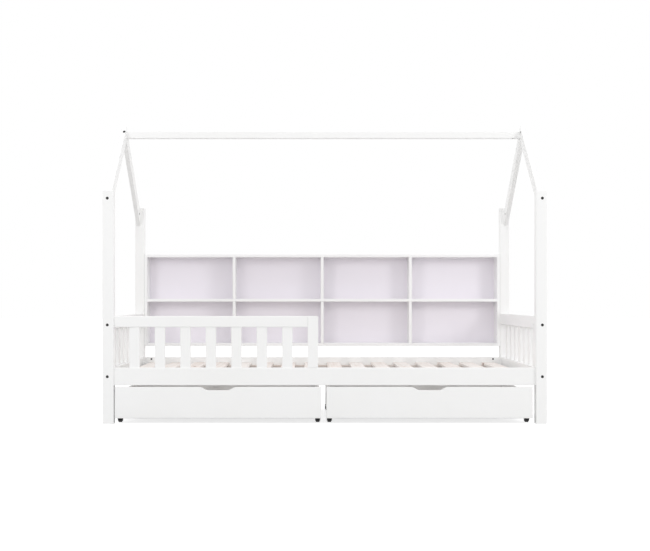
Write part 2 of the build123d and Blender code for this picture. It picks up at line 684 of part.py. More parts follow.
right_drawer_x = left_drawer_x + drawer_width + DRAWER_MIDDLE_GAP


for drawer_name, low_x in (("left_drawer", left_drawer_x), ("right_drawer", right_drawer_x)):
    front_x = (low_x, low_x + drawer_width)
    side_out = {-1: front_x[0] + DRAWER_SIDE_INSET, 1: front_x[1] - DRAWER_SIDE_INSET}
    side_in = {side: side_out[side] - side * DRAWER_BOARD for side in (-1, 1)}
    inside_x = (side_in[-1], side_in[1])
    bottom_x = (
        inside_x[0] - GROOVE_DEPTH + JOINT_CLEARANCE,
        inside_x[1] + GROOVE_DEPTH - JOINT_CLEARANCE,
    )
    back_y = (box_y[1] - DRAWER_BOARD, box_y[1])

    with BuildPart() as drawer_front:
        with BuildSketch(Plane.XZ.offset(-front_y[1])) as outline:
            with BuildLine():
                Polyline(
                    (front_x[0], front_z[0]),
                    (front_x[1], front_z[0]),
                    (front_x[1], front_z[1]),
                    (middle(front_x) + GRIP_TOP_WIDTH / 2, front_z[1]),
                    (middle(front_x) + GRIP_BOTTOM_WIDTH / 2, front_z[1] - GRIP_DEPTH),
                    (middle(front_x) - GRIP_BOTTOM_WIDTH / 2, front_z[1] - GRIP_DEPTH),
                    (middle(front_x) - GRIP_TOP_WIDTH / 2, front_z[1]),
                    (front_x[0], front_z[1]),
                    close=True,
                )
            make_face()
            fillet(outline.vertices().group_by(Axis.Y)[1], GRIP_CORNER_RADIUS)
            fillet(outline.vertices().group_by(Axis.Y)[-1].sort_by(Axis.X)[1:-1], GRIP_LIP_RADIUS)
        extrude(amount=DRAWER_BOARD)
        fillet(drawer_front.faces().sort_by(Axis.Y)[0].edges(), EDGE_RADIUS)
        pocket(
            (inside_x[0] - GROOVE_DEPTH, inside_x[1] + GROOVE_DEPTH),
            (front_y[1] - GROOVE_DEPTH, front_y[1]),
            groove_z,
        )
    export(drawer_front, f"{drawer_name}_front")

    castor_points = []
    for side, side_name in ((-1, "left"), (1, "right")):
        side_x = tuple(sorted((side_out[side], side_in[side])))
        peg_points = [(middle(side_x), castor_y, box_z[0]) for castor_y in castor_lines_y]
        castor_points += [(middle(side_x), castor_y, 0) for castor_y in castor_lines_y]
        with BuildPart() as drawer_side:
            block(side_x, box_y, box_z)
            fillet(drawer_side.edges().filter_by(Axis.Y).group_by(Axis.Z)[-1], THIN_EDGE_RADIUS)
            pocket(
                tuple(sorted((side_in[side], side_in[side] + side * GROOVE_DEPTH))),
                (box_y[0], back_y[0]),
                groove_z,
            )
            with Locations([Plane(origin=point, z_dir=(0, 0, -1)) for point in peg_points]):
                Hole(FORK_PEG_RADIUS + PRESS_CLEARANCE, depth=FORK_PEG_LENGTH + JOINT_CLEARANCE)
        export(drawer_side, f"{drawer_name}_{side_name}_side")

    with BuildPart() as drawer_back:
        block(inside_x, back_y, box_z)
        top_edges = drawer_back.edges().filter_by(Axis.X).group_by(Axis.Z)[-1]
        fillet(top_edges, THIN_EDGE_RADIUS)
        pocket(inside_x, (back_y[0], back_y[0] + GROOVE_DEPTH), groove_z)
    export(drawer_back, f"{drawer_name}_back")

    with BuildPart() as drawer_bottom:
        block(
            bottom_x,
            (front_y[1] - GROOVE_DEPTH + JOINT_CLEARANCE, back_y[0] - JOINT_CLEARANCE),
            bottom_z,
        )
        block(
            (inside_x[0] + JOINT_CLEARANCE, inside_x[1] - JOINT_CLEARANCE),
            (back_y[0] - JOINT_CLEARANCE, back_y[0] + GROOVE_DEPTH - JOINT_CLEARANCE),
            bottom_z,
        )
    export(drawer_bottom, f"{drawer_name}_bottom")

    with BuildPart() as castor_forks:
        with Locations(castor_points):
            add(castor_fork.part)
    export(castor_forks, f"{drawer_name}_castor_forks")

    with BuildPart() as castor_axles:
        with Locations(castor_points):
            add(castor_axle.part)
    export(castor_axles, f"{drawer_name}_castor_axles")

    wheel_names = ("front_left", "rear_left", "front_right", "rear_right")
    for wheel_name, point in zip(wheel_names, castor_points):
        with BuildPart() as wheel:
            with Locations(point):
                add(castor_wheel.part)
        export(wheel, f"{drawer_name}_{wheel_name}_wheel")


# Fasteners. Each is made once at the origin, pointing down from its head, and copied.
def make_bolt(length):
    """A furniture bolt with a thin flat head and a hexagon socket."""
    with BuildPart() as bolt:
        with BuildSketch():
            Circle(BOLT_HEAD_RADIUS)
        extrude(amount=BOLT_HEAD_HEIGHT)
        fillet(bolt.edges().sort_by(Axis.Z)[-1], BOLT_HEAD_HEIGHT / 3)
        with BuildSketch():
            Circle(BOLT_RADIUS)
        extrude(amount=-length)
        with BuildSketch(Plane.XY.offset(BOLT_HEAD_HEIGHT)):
            RegularPolygon(BOLT_SOCKET_RADIUS, 6, major_radius=False)
        extrude(amount=-BOLT_SOCKET_DEPTH, mode=Mode.SUBTRACT)
    return bolt.part


def make_screw(radius, head_radius, length):
    """A countersunk wood screw, its head's top at the origin."""
    with BuildPart() as screw:
        with BuildSketch(Plane.XZ):
            with BuildLine():
                Polyline(
                    (0, 0),
                    (head_radius, 0),
                    (radius, radius - head_radius),
                    (radius, radius - length),
                    (0, -length),
                    close=True,
                )
            make_face()
        revolve(axis=Axis.Z)
    return screw.part


frame_joints = [guard_joint]
for joints in (end_top_joints, end_bottom_joints, rafter_joints):
    frame_joints += joints.values()
for joints in side_rail_joints.values():
    frame_joints += joints
roof_joints = list(ridge_joints.values()) + list(apex_joints.values())

for joints, length, name in (
    (frame_joints, FRAME_BOLT_LENGTH, "frame_bolts"),
    (roof_joints, ROOF_BOLT_LENGTH, "roof_bolts"),
):
    one_bolt = make_bolt(length)
    with BuildPart() as bolts:
        with Locations([joint.seat_plane() for joint in joints]):
            add(one_bolt)
    export(bolts, name)

with BuildPart() as barrel_nuts:
    for joint in frame_joints + roof_joints:
        with Locations(Plane(origin=joint.nut, z_dir=joint.mouth)):
            Cylinder(NUT_RADIUS, NUT_LENGTH)
        with Locations(Plane(origin=joint.nut, z_dir=joint.inward)):
            Cylinder(BOLT_RADIUS + THREAD_CLEARANCE, 4 * NUT_RADIUS, mode=Mode.SUBTRACT)
export(barrel_nuts, "barrel_nuts")

with BuildPart() as rail_dowels:
    for dowels in (end_top_dowels, end_bottom_dowels, rafter_dowels):
        for dowel in dowels.values():
            with Locations(dowel.plane):
                Cylinder(DOWEL_RADIUS, DOWEL_LENGTH)
export(rail_dowels, "rail_dowels")

slat_screw = make_screw(SLAT_SCREW_RADIUS, SLAT_SCREW_HEAD_RADIUS, SLAT_SCREW_LENGTH)
with BuildPart() as slat_screws:
    with Locations(slat_screw_planes):
        add(slat_screw)
export(slat_screws, "slat_screws")

case_screw = make_screw(CASE_SCREW_RADIUS, CASE_SCREW_HEAD_RADIUS, CASE_SCREW_LENGTH)
with BuildPart() as bookcase_screws:
    with Locations(case_screw_planes(-1) + case_screw_planes(1)):
        add(case_screw)
export(bookcase_screws, "bookcase_screws")
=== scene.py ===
import math

import bmesh
import bpy
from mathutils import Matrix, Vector


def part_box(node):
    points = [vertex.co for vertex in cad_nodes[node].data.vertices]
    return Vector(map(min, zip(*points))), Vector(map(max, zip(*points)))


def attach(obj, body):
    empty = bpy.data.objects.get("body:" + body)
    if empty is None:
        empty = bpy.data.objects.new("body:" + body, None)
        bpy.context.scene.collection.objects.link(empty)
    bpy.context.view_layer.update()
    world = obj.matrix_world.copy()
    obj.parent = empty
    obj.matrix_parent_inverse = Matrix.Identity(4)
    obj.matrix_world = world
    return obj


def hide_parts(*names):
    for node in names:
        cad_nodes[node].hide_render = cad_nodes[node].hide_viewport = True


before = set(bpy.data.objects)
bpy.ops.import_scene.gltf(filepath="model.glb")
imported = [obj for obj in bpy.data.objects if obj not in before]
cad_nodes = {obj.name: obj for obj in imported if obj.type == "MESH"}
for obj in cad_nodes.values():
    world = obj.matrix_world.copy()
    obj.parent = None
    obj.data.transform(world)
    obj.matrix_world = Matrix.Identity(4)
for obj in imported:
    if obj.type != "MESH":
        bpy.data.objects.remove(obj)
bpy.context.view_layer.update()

# Corner posts: four square lengths of planed pine, their edges eased, sprayed with two coats
# of white satin paint. The paint fills the wood but the grain still shows as faint ridges.


def add_node(tree, kind, inputs=None, **settings):
    """Add one node to a tree. An input is a plain value or another node's output."""
    node = tree.nodes.new(kind)
    for setting, value in settings.items():
        setattr(node, setting, value)
    for key, value in (inputs or {}).items():
        socket = node.inputs[key]
        if isinstance(value, bpy.types.NodeSocket):
            tree.links.new(value, socket)
        else:
            socket.default_value = value
    return node


def new_finish(name):
    """A material with an empty tree, its shader and the coordinates its patterns read."""
    finish = bpy.data.materials.new(name)
    finish.use_nodes = True
    tree = finish.node_tree
    tree.nodes.clear()
    shader = add_node(tree, "ShaderNodeBsdfPrincipled")
    add_node(tree, "ShaderNodeOutputMaterial", {"Surface": shader.outputs["BSDF"]})
    place = add_node(tree, "ShaderNodeTexCoord").outputs["Object"]
    return finish, tree, shader, place


def dress(tree, shader, colour, roughness, normal):
    """Feed the shader its colour, its roughness and the direction of its surface."""
    tree.links.new(colour, shader.inputs["Base Color"])
    tree.links.new(roughness, shader.inputs["Roughness"])
    tree.links.new(normal, shader.inputs["Normal"])


def grain_frame(tree, place, along):
    """Coordinates whose X runs with the grain, from the direction of the grain."""
    along = Vector(along).normalized()
    side = along.orthogonal().normalized()
    axes = (along, side, along.cross(side))
    turned = add_node(tree, "ShaderNodeCombineXYZ")
    for axis, socket in zip(axes, turned.inputs):
        dot = add_node(tree, "ShaderNodeVectorMath", {0: place, 1: axis}, operation="DOT_PRODUCT")
        tree.links.new(dot.outputs["Value"], socket)
    return turned.outputs["Vector"]


def noise(tree, place, cells, detail=2.0, roughness=0.5, distortion=0.0):
    """A noise with so many cells to a metre, alike in all directions or by axis."""
    stretch = cells if isinstance(cells, tuple) else (cells, cells, cells)
    mapped = add_node(tree, "ShaderNodeMapping", {"Vector": place, "Scale": stretch})
    inputs = {
        "Vector": mapped.outputs["Vector"],
        "Scale": 1.0,
        "Detail": detail,
        "Roughness": roughness,
        "Distortion": distortion,
    }
    return add_node(tree, "ShaderNodeTexNoise", inputs).outputs["Fac"]


def spread(tree, value, to_low, to_high, low=0.3, high=0.7):
    """Map a range of a value, by default a noise's own, to another, held at its ends."""
    inputs = {
        "Value": value,
        "From Min": low,
        "From Max": high,
        "To Min": to_low,
        "To Max": to_high,
    }
    return add_node(tree, "ShaderNodeMapRange", inputs, clamp=True).outputs["Result"]


def mottled(tree, place, cells, first, second, share):
    """Wide soft patches of a second colour, up to a share of it."""
    amount = spread(tree, noise(tree, place, cells), 0.0, share, low=0.35, high=0.65)
    return blend_colour(tree, amount, first, second)


def blend_colour(tree, factor, first, second):
    mixed = add_node(tree, "ShaderNodeMix", {0: factor, 6: first, 7: second}, data_type="RGBA")
    return mixed.outputs[2]


def bump(tree, height, depth, under=None):
    """Relief of a depth in metres, over an earlier relief if there is one."""
    inputs = {"Height": height, "Distance": depth, "Strength": 1.0}
    if under:
        inputs["Normal"] = under
    return add_node(tree, "ShaderNodeBump", inputs).outputs["Normal"]


satin_gloss = 0.4


def painted_pine(name, along):
    """White satin paint on pine whose grain runs along a direction."""
    paint = (0.90, 0.90, 0.898, 1.0)
    thin_paint = (0.882, 0.88, 0.872, 1.0)
    fibre_cells = (5.0, 170.0, 170.0)
    ring_cells = (1.6, 38.0, 38.0)
    fibre_depth = 0.00006
    ring_depth = 0.00016
    spray_depth = 0.00002
    finish, tree, shader, place = new_finish(name)
    grain_place = grain_frame(tree, place, along)
    fibre = noise(tree, grain_place, fibre_cells, detail=5.0, roughness=0.6, distortion=0.3)
    rings = noise(tree, grain_place, ring_cells, distortion=0.8)
    spray = noise(tree, place, 520.0, detail=1.0)
    relief = bump(tree, fibre, fibre_depth, bump(tree, rings, ring_depth))
    dress(
        tree,
        shader,
        mottled(tree, place, 3.0, paint, thin_paint, 0.6),
        spread(tree, fibre, 0.34, 0.46),
        bump(tree, spray, spray_depth, relief),
    )
    shader.inputs["Specular IOR Level"].default_value = satin_gloss
    return finish


def coat(finish, *names):
    """Give CAD nodes a finish."""
    for name in names:
        for material_slot in cad_nodes[name].material_slots:
            material_slot.material = finish


upright_paint = painted_pine("paint on upright pine", (0, 0, 1))
posts = [f"{row}_{side}_post" for row in ("front", "rear") for side in ("left", "right")]
coat(upright_paint, *posts)

# Rafters: two pine boards a gable, mitred at the peak and painted as the posts are. Their
# grain follows the slope, so the front and the rear boards each have their own finish.
rafter_width = 0.060
rafter_low, rafter_high = (Vector(corner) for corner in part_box("front_left_rafter"))
rafter_run = rafter_high.y - rafter_low.y
rafter_rise = rafter_high.z - rafter_low.z
rafter_reach = math.sqrt(rafter_run**2 + rafter_rise**2 - rafter_width**2)
rafter_slope = rafter_run * rafter_rise - rafter_width * rafter_reach
rafter_slope /= rafter_run**2 - rafter_width**2
for row, lean in (("front", 1), ("rear", -1)):
    rafter_paint = painted_pine(f"paint on {row} rafters", (0, lean, rafter_slope))
    coat(rafter_paint, f"{row}_left_rafter", f"{row}_right_rafter")

# Rails that run the length of the bed: the side rails, the guard's top rail and the ridge
# beam, all planed pine with their long edges eased, painted white.
lengthwise_paint = painted_pine("paint on lengthwise pine", (1, 0, 0))
coat(lengthwise_paint, "front_side_rail", "rear_side_rail", "guard_top_rail", "ridge_beam")

# End panels: a top and a bottom rail of thicker pine across the bed with thin upright slats
# let into both. The guard's slats and end stile are the same stock.
crosswise_paint = painted_pine("paint on crosswise pine", (0, 1, 0))
end_rails = [f"{side}_end_{row}_rail" for side in ("left", "right") for row in ("top", "bottom")]
coat(crosswise_paint, *end_rails)
coat(upright_paint, "left_end_slats", "right_end_slats", "guard_slats", "guard_end_stile")

# Bookcase: painted boards, smoother than the pine because they are cut from fibreboard. The
# back is a thin sheet with a pale lilac foil.


def painted_board(name, paint, worn):
    """Sprayed paint on fibreboard: no grain, only the fine ripple of the spray."""
    ripple_depth = 0.00006
    finish, tree, shader, place = new_finish(name)
    ripple = noise(tree, place, 260.0)
    dress(
        tree,
        shader,
        mottled(tree, place, 2.5, paint, worn, 1.0),
        spread(tree, ripple, 0.36, 0.46),
        bump(tree, ripple, ripple_depth),
    )
    shader.inputs["Specular IOR Level"].default_value = satin_gloss
    return finish


board_paint = painted_board("paint on board", (0.905, 0.905, 0.908, 1.0), (0.89, 0.89, 0.892, 1.0))
coat(board_paint, "bookcase_left_side", "bookcase_right_side", "bookcase_top", "bookcase_bottom")
coat(board_paint, "bookcase_shelf", *(f"bookcase_divider_{number}" for number in (1, 2, 3)))
foil_colours = ((0.91, 0.87, 0.93, 1.0), (0.89, 0.85, 0.91, 1.0))
coat(painted_board("lilac foil on back panel", *foil_colours), "bookcase_back")

# Bed slats: sixteen loose strips of bare pine, planed, their long edges rounded. No two match
# in tone, and each bows a little under its own weight between the two cleats.


def times(tree, value, factor):
    product = add_node(tree, "ShaderNodeMath", {0: value, 1: factor}, operation="MULTIPLY")
    return product.outputs["Value"]


def by_axis(tree, **numbers):
    """A vector from numbers or outputs named by their axis."""
    return add_node(tree, "ShaderNodeCombineXYZ", numbers).outputs["Vector"]


def new_growth(name, **inputs):
    """A geometry tree with a geometry input and output and named number inputs."""
    tree = bpy.data.node_groups.new(name, "GeometryNodeTree")
    tree.interface.new_socket("Geometry", in_out="INPUT", socket_type="NodeSocketGeometry")
    tree.interface.new_socket("Geometry", in_out="OUTPUT", socket_type="NodeSocketGeometry")
    for label, kind in inputs.items():
        tree.interface.new_socket(label.replace("_", " "), in_out="INPUT", socket_type=kind)
    return tree, tree.nodes.new("NodeGroupInput").outputs


def end_growth(tree, geometry, finish):
    """Realize the instances, set the finish and close the tree."""
    real = add_node(tree, "GeometryNodeRealizeInstances", {"Geometry": geometry})
    inputs = {"Geometry": real.outputs["Geometry"], "Material": finish}
    done = add_node(tree, "GeometryNodeSetMaterial", inputs)
    end = tree.nodes.new("NodeGroupOutput")
    tree.links.new(done.outputs["Geometry"], end.inputs["Geometry"])


def carrier_points(name, points, **directions):
    """An object at the origin that holds bare points, each with the directions given."""
    mesh = bpy.data.meshes.new(name)
    mesh.from_pydata([tuple(point) for point in points], [], [])
    for label, ways in directions.items():
        attribute = mesh.attributes.new(label, "FLOAT_VECTOR", "POINT")
        for item, way in zip(attribute.data, ways):
            item.vector = way
    carrier = bpy.data.objects.new(name, mesh)
    bpy.context.scene.collection.objects.link(carrier)
    return carrier


def run_nodes(carrier, tree, sizes):
    """Run a geometry tree on a carrier and keep its result as the carrier's plain mesh."""
    modifier = carrier.modifiers.new(tree.name, "NODES")
    modifier.node_group = tree
    for item in tree.interface.items_tree:
        if item.in_out == "INPUT" and item.name in sizes:
            modifier[item.identifier] = sizes[item.name]
    evaluated = carrier.evaluated_get(bpy.context.evaluated_depsgraph_get())
    result = bpy.data.meshes.new_from_object(evaluated)
    carrier.modifiers.clear()
    carrier.data = result


def bare_pine(name, along):
    """Planed pine with growth lines, fibres and small knots, toned by the tone attribute."""
    sapwood = (0.91, 0.85, 0.81, 1.0)
    latewood = (0.78, 0.665, 0.60, 1.0)
    pale = (0.93, 0.895, 0.865, 1.0)
    knot_brown = (0.26, 0.15, 0.09, 1.0)
    line_cells = (1.3, 110.0, 110.0)
    fibre_cells = (12.0, 700.0, 700.0)
    knot_cells = (5.5, 14.0, 14.0)
    jump_between_boards = 40.0
    line_depth = 0.00025
    fibre_depth = 0.0001
    finish, tree, shader, place = new_finish(name)
    tone = add_node(tree, "ShaderNodeAttribute", attribute_name="tone").outputs["Fac"]
    jump = by_axis(tree, Z=times(tree, tone, jump_between_boards))
    shifted = add_node(tree, "ShaderNodeVectorMath", {0: place, 1: jump}, operation="ADD")
    grain_place = grain_frame(tree, shifted.outputs["Vector"], along)
    lines = noise(tree, grain_place, line_cells, detail=3.0, roughness=0.6, distortion=0.5)
    fibre = noise(tree, grain_place, fibre_cells, detail=3.0)
    mapped = add_node(tree, "ShaderNodeMapping", {"Vector": grain_place, "Scale": knot_cells})
    cell_inputs = {"Vector": mapped.outputs["Vector"], "Scale": 1.0, "Randomness": 1.0}
    from_knot = add_node(tree, "ShaderNodeTexVoronoi", cell_inputs).outputs["Distance"]
    knot = spread(tree, from_knot, 1.0, 0.0, low=0.07, high=0.13)
    halo = spread(tree, from_knot, 0.5, 0.0, low=0.1, high=0.32)
    line_share = spread(tree, lines, 0.0, 0.75, low=0.42, high=0.72)
    pale_share = spread(tree, tone, 0.0, 0.7, low=0.0, high=1.0)
    lined = blend_colour(tree, line_share, sapwood, latewood)
    toned = blend_colour(tree, pale_share, lined, pale)
    ringed = blend_colour(tree, halo, toned, latewood)
    dress(
        tree,
        shader,
        blend_colour(tree, knot, ringed, knot_brown),
        spread(tree, fibre, 0.55, 0.72),
        bump(tree, fibre, fibre_depth, bump(tree, lines, line_depth)),
    )
    shader.inputs["Specular IOR Level"].default_value = 0.3
    return finish


slats_low, slats_high = (Vector(corner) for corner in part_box("bed_slats"))
slats_middle = (slats_low + slats_high) / 2
slat_count = 16
slat_width = 0.070
slat_stations = 24
slat_pitch = (slats_high.x - slats_low.x - slat_width) / (slat_count - 1)
slat_lines = [slats_low.x + slat_width / 2 + i * slat_pitch for i in range(slat_count)]

slat_tree, given = new_growth(
    "bed slats",
    Width="NodeSocketFloat",
    Depth="NodeSocketFloat",
    Length="NodeSocketFloat",
    Edge="NodeSocketFloat",
    Bow="NodeSocketFloat",
    Seed="NodeSocketInt",
)
section = add_node(
    slat_tree,
    "GeometryNodeCurvePrimitiveQuadrilateral",
    {"Width": given["Width"], "Height": given["Depth"]},
)
rounded = add_node(
    slat_tree,
    "GeometryNodeFilletCurve",
    {"Curve": section.outputs["Curve"], "Radius": given["Edge"], "Count": 3},
    mode="POLY",
)
line = add_node(
    slat_tree,
    "GeometryNodeCurvePrimitiveLine",
    {
        "Start": by_axis(slat_tree, Y=times(slat_tree, given["Length"], -0.5)),
        "End": by_axis(slat_tree, Y=times(slat_tree, given["Length"], 0.5)),
    },
)
stations = add_node(
    slat_tree,
    "GeometryNodeResampleCurve",
    {"Curve": line.outputs["Curve"], "Count": slat_stations},
    mode="COUNT",
)
one_slat = add_node(
    slat_tree,
    "GeometryNodeCurveToMesh",
    {
        "Curve": stations.outputs["Curve"],
        "Profile Curve": rounded.outputs["Curve"],
        "Fill Caps": True,
    },
)
laid = add_node(
    slat_tree,
    "GeometryNodeInstanceOnPoints",
    {"Points": given["Geometry"], "Instance": one_slat.outputs["Mesh"]},
)
chance = add_node(slat_tree, "FunctionNodeRandomValue", {"Seed": given["Seed"]}, data_type="FLOAT")
toned_slats = add_node(
    slat_tree,
    "GeometryNodeStoreNamedAttribute",
    {"Geometry": laid.outputs["Instances"], "Name": "tone", "Value": chance.outputs[1]},
    data_type="FLOAT",
    domain="INSTANCE",
)
real_slats = add_node(
    slat_tree, "GeometryNodeRealizeInstances", {"Geometry": toned_slats.outputs["Geometry"]}
)
here = add_node(slat_tree, "GeometryNodeInputPosition")
apart = add_node(slat_tree, "ShaderNodeSeparateXYZ", {"Vector": here.outputs["Position"]})
across = spread(slat_tree, apart.outputs["Y"], 0.0, math.pi, low=slats_low.y, high=slats_high.y)
arch = add_node(slat_tree, "ShaderNodeMath", {0: across}, operation="SINE").outputs["Value"]
tone_read = add_node(
    slat_tree, "GeometryNodeInputNamedAttribute", {"Name": "tone"}, data_type="FLOAT"
)
own_bow = times(slat_tree, tone_read.outputs["Attribute"], given["Bow"])
drop = by_axis(slat_tree, Z=times(slat_tree, times(slat_tree, arch, own_bow), -1.0))
bowed = add_node(
    slat_tree,
    "GeometryNodeSetPosition",
    {"Geometry": real_slats.outputs["Geometry"], "Offset": drop},
)
end_growth(slat_tree, bowed.outputs["Geometry"], bare_pine("bare pine of bed slats", (0, 1, 0)))

slat_points = [(x, slats_middle.y, slats_middle.z) for x in slat_lines]
bed_slats = carrier_points("pine_bed_slats", slat_points)
slat_sizes = {
    "Width": slat_width,
    "Depth": slats_high.z - slats_low.z,
    "Length": slats_high.y - slats_low.y,
    "Edge": 0.003,
    "Bow": 0.002,
    "Seed": 7,
}
run_nodes(bed_slats, slat_tree, slat_sizes)
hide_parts("bed_slats")
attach(bed_slats, "bed")

# Cleats: two strips of bare pine under the slats' ends, glued to the inner faces of the side
# rails, and the dowels that keep the rails from turning, of the same bare wood.
cleats = ("front_slat_cleat", "rear_slat_cleat")
coat(bare_pine("bare pine of cleats", (1, 0, 0)), "rail_dowels", *cleats)

# Wood screws: zinc-plated, countersunk, with a cross recess. One holds each slat's end to its
# cleat, and three a side go outwards from the bookcase's end bays into the rear posts.


def plated_steel(name):
    """Zinc plate: bright steel, a little streaked and dulled by handling."""
    bright = (0.66, 0.66, 0.64, 1.0)
    dull = (0.52, 0.53, 0.52, 1.0)
    streak_depth = 0.00002
    finish, tree, shader, place = new_finish(name)
    streak = noise(tree, place, 900.0, detail=3.0)
    dress(
        tree,
        shader,
        blend_colour(tree, noise(tree, place, 140.0), bright, dull),
        spread(tree, streak, 0.26, 0.42),
        bump(tree, streak, streak_depth),
    )
    shader.inputs["Metallic"].default_value = 1.0
    return finish


def set_along_ways(tree, points, shape, second=None):
    """Put a shape on every point, its Z turned to the point's way, and its X to a second one."""
    way = add_node(
        tree, "GeometryNodeInputNamedAttribute", {"Name": "way"}, data_type="FLOAT_VECTOR"
    )
    turn = add_node(
        tree, "FunctionNodeAlignRotationToVector", {"Vector": way.outputs["Attribute"]}, axis="Z"
    )
    if second:
        beside = add_node(
            tree, "GeometryNodeInputNamedAttribute", {"Name": second}, data_type="FLOAT_VECTOR"
        )
        turn = add_node(
            tree,
            "FunctionNodeAlignRotationToVector",
            {"Rotation": turn.outputs["Rotation"], "Vector": beside.outputs["Attribute"]},
            axis="X",
            pivot_axis="Z",
        )
    inputs = {"Points": points, "Instance": shape, "Rotation": turn.outputs["Rotation"]}
    return add_node(tree, "GeometryNodeInstanceOnPoints", inputs).outputs["Instances"]


def raised(tree, geometry, rise):
    """Move a shape along Z by a number or by a node's output."""
    inputs = {"Geometry": geometry, "Translation": by_axis(tree, Z=rise)}
    return add_node(tree, "GeometryNodeTransform", inputs).outputs["Geometry"]


def cut_out(tree, body, cutters):
    """Subtract shapes from a body."""
    node = add_node(tree, "GeometryNodeMeshBoolean", operation="DIFFERENCE", solver="EXACT")
    tree.links.new(body, node.inputs["Mesh 1"])
    for cutter in cutters:
        tree.links.new(cutter, node.inputs["Mesh 2"])
    return node.outputs["Mesh"]


def cube(tree, **sides):
    return add_node(tree, "GeometryNodeMeshCube", {"Size": by_axis(tree, **sides)}).outputs["Mesh"]


screw_tree, given = new_growth(
    "wood screws",
    Head_radius="NodeSocketFloat",
    Shank_radius="NodeSocketFloat",
    Length="NodeSocketFloat",
)
head_depth = add_node(
    screw_tree,
    "ShaderNodeMath",
    {0: given["Head radius"], 1: given["Shank radius"]},
    operation="SUBTRACT",
).outputs["Value"]
head = add_node(
    screw_tree,
    "GeometryNodeMeshCone",
    {
        "Vertices": 20,
        "Radius Top": given["Head radius"],
        "Radius Bottom": given["Shank radius"],
        "Depth": head_depth,
    },
)
recess_length = times(screw_tree, given["Head radius"], 1.15)
recess_width = times(screw_tree, given["Head radius"], 0.26)
recess_depth = times(screw_tree, given["Head radius"], 0.7)
crossed = cut_out(
    screw_tree,
    raised(screw_tree, head.outputs["Mesh"], times(screw_tree, head_depth, -1.0)),
    [
        cube(screw_tree, X=recess_length, Y=recess_width, Z=recess_depth),
        cube(screw_tree, X=recess_width, Y=recess_length, Z=recess_depth),
    ],
)
shank = add_node(
    screw_tree,
    "GeometryNodeMeshCone",
    {
        "Vertices": 12,
        "Radius Top": given["Shank radius"],
        "Radius Bottom": times(screw_tree, given["Shank radius"], 0.35),
        "Depth": given["Length"],
    },
)
whole = add_node(screw_tree, "GeometryNodeJoinGeometry")
lowered_shank = raised(screw_tree, shank.outputs["Mesh"], times(screw_tree, given["Length"], -1.0))
for geometry in (crossed, lowered_shank):
    screw_tree.links.new(geometry, whole.inputs["Geometry"])
set_screws = set_along_ways(screw_tree, given["Geometry"], whole.outputs["Geometry"])
end_growth(screw_tree, set_screws, plated_steel("zinc of wood screws"))

screw_sink = 0.0002
cleat_lines = [(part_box(cleat)[0][1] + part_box(cleat)[1][1]) / 2 for cleat in cleats]
slat_screws = carrier_points(
    "zinc_slat_screws",
    [(x, y, slats_high.z - screw_sink) for y in cleat_lines for x in slat_lines],
    way=[(0, 0, 1)] * (len(cleat_lines) * slat_count),
)
slat_screw_sizes = {"Head radius": 0.0035, "Shank radius": 0.00175, "Length": 0.026}
run_nodes(slat_screws, screw_tree, slat_screw_sizes)
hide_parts("slat_screws")
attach(slat_screws, "bed")

case_low, case_high = (Vector(corner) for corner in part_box("bookcase_left_side"))
right_case_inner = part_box("bookcase_right_side")[0][0]
case_screw_gap = 0.060
case_screw_heights = (
    case_low.z + case_screw_gap,
    (case_low.z + case_high.z) / 2 - case_screw_gap,
    case_high.z - case_screw_gap,
)
case_screw_line = case_low.y + 0.025
case_screw_places = [
    (x - way * screw_sink, case_screw_line, height, way)
    for x, way in ((case_high.x, 1), (right_case_inner, -1))
    for height in case_screw_heights
]
case_screws = carrier_points(
    "zinc_bookcase_screws",
    [place[:3] for place in case_screw_places],
    way=[(place[3], 0, 0) for place in case_screw_places],
)
case_screw_sizes = {"Head radius": 0.004, "Shank radius": 0.002, "Length": 0.034}
run_nodes(case_screws, screw_tree, case_screw_sizes)
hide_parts("bookcase_screws")
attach(case_screws, "bed")

# Furniture bolts: blackened steel with a flat head and a hexagon socket, drawn just under the
# paint of the posts. They pull the rails' ends and the rafters tight.


def blackened_steel(name):
    """Black oxide, oiled: almost black, with a dull sheen."""
    black = (0.018, 0.018, 0.019, 1.0)
    rubbed = (0.05, 0.048, 0.046, 1.0)
    grit_depth = 0.00002
    finish, tree, shader, place = new_finish(name)
    grit = noise(tree, place, 1500.0)
    dress(
        tree,
        shader,
        blend_colour(tree, grit, black, rubbed),
        spread(tree, grit, 0.38, 0.55),
        bump(tree, grit, grit_depth),
    )
    shader.inputs["Metallic"].default_value = 0.6
    return finish


coat(blackened_steel("black oxide of bolts"), "frame_bolts", "roof_bolts")

# Barrel nuts: turned steel barrels in holes across the rails, coloured near black as painted
# shade of the deep holes they sit in. Each end has a slot that turns the nut until its thread
# meets the bolt, and a chamfer round its rim.


def solid_boxes(name):
    """The lowest and highest corner of each separate solid of a CAD node."""
    merged = bmesh.new()
    merged.from_mesh(cad_nodes[name].data)
    bmesh.ops.remove_doubles(merged, verts=merged.verts, dist=1e-6)
    waiting = set(merged.verts)
    boxes = []
    for vertex in merged.verts:
        if vertex not in waiting:
            continue
        waiting.discard(vertex)
        found = [vertex]
        for known in found:
            for edge in known.link_edges:
                other = edge.other_vert(known)
                if other in waiting:
                    waiting.discard(other)
                    found.append(other)
        low = Vector([min(known.co[axis] for known in found) for axis in range(3)])
        high = Vector([max(known.co[axis] for known in found) for axis in range(3)])
        boxes.append((low, high))
    merged.free()
    return boxes


def longest_way(low, high):
    """The direction of a box's longest side."""
    size = high - low
    longest = max(range(3), key=lambda axis: size[axis])
    return tuple(1.0 if axis == longest else 0.0 for axis in range(3))


def plus(tree, first, second):
    return add_node(tree, "ShaderNodeMath", {0: first, 1: second}, operation="ADD").outputs["Value"]


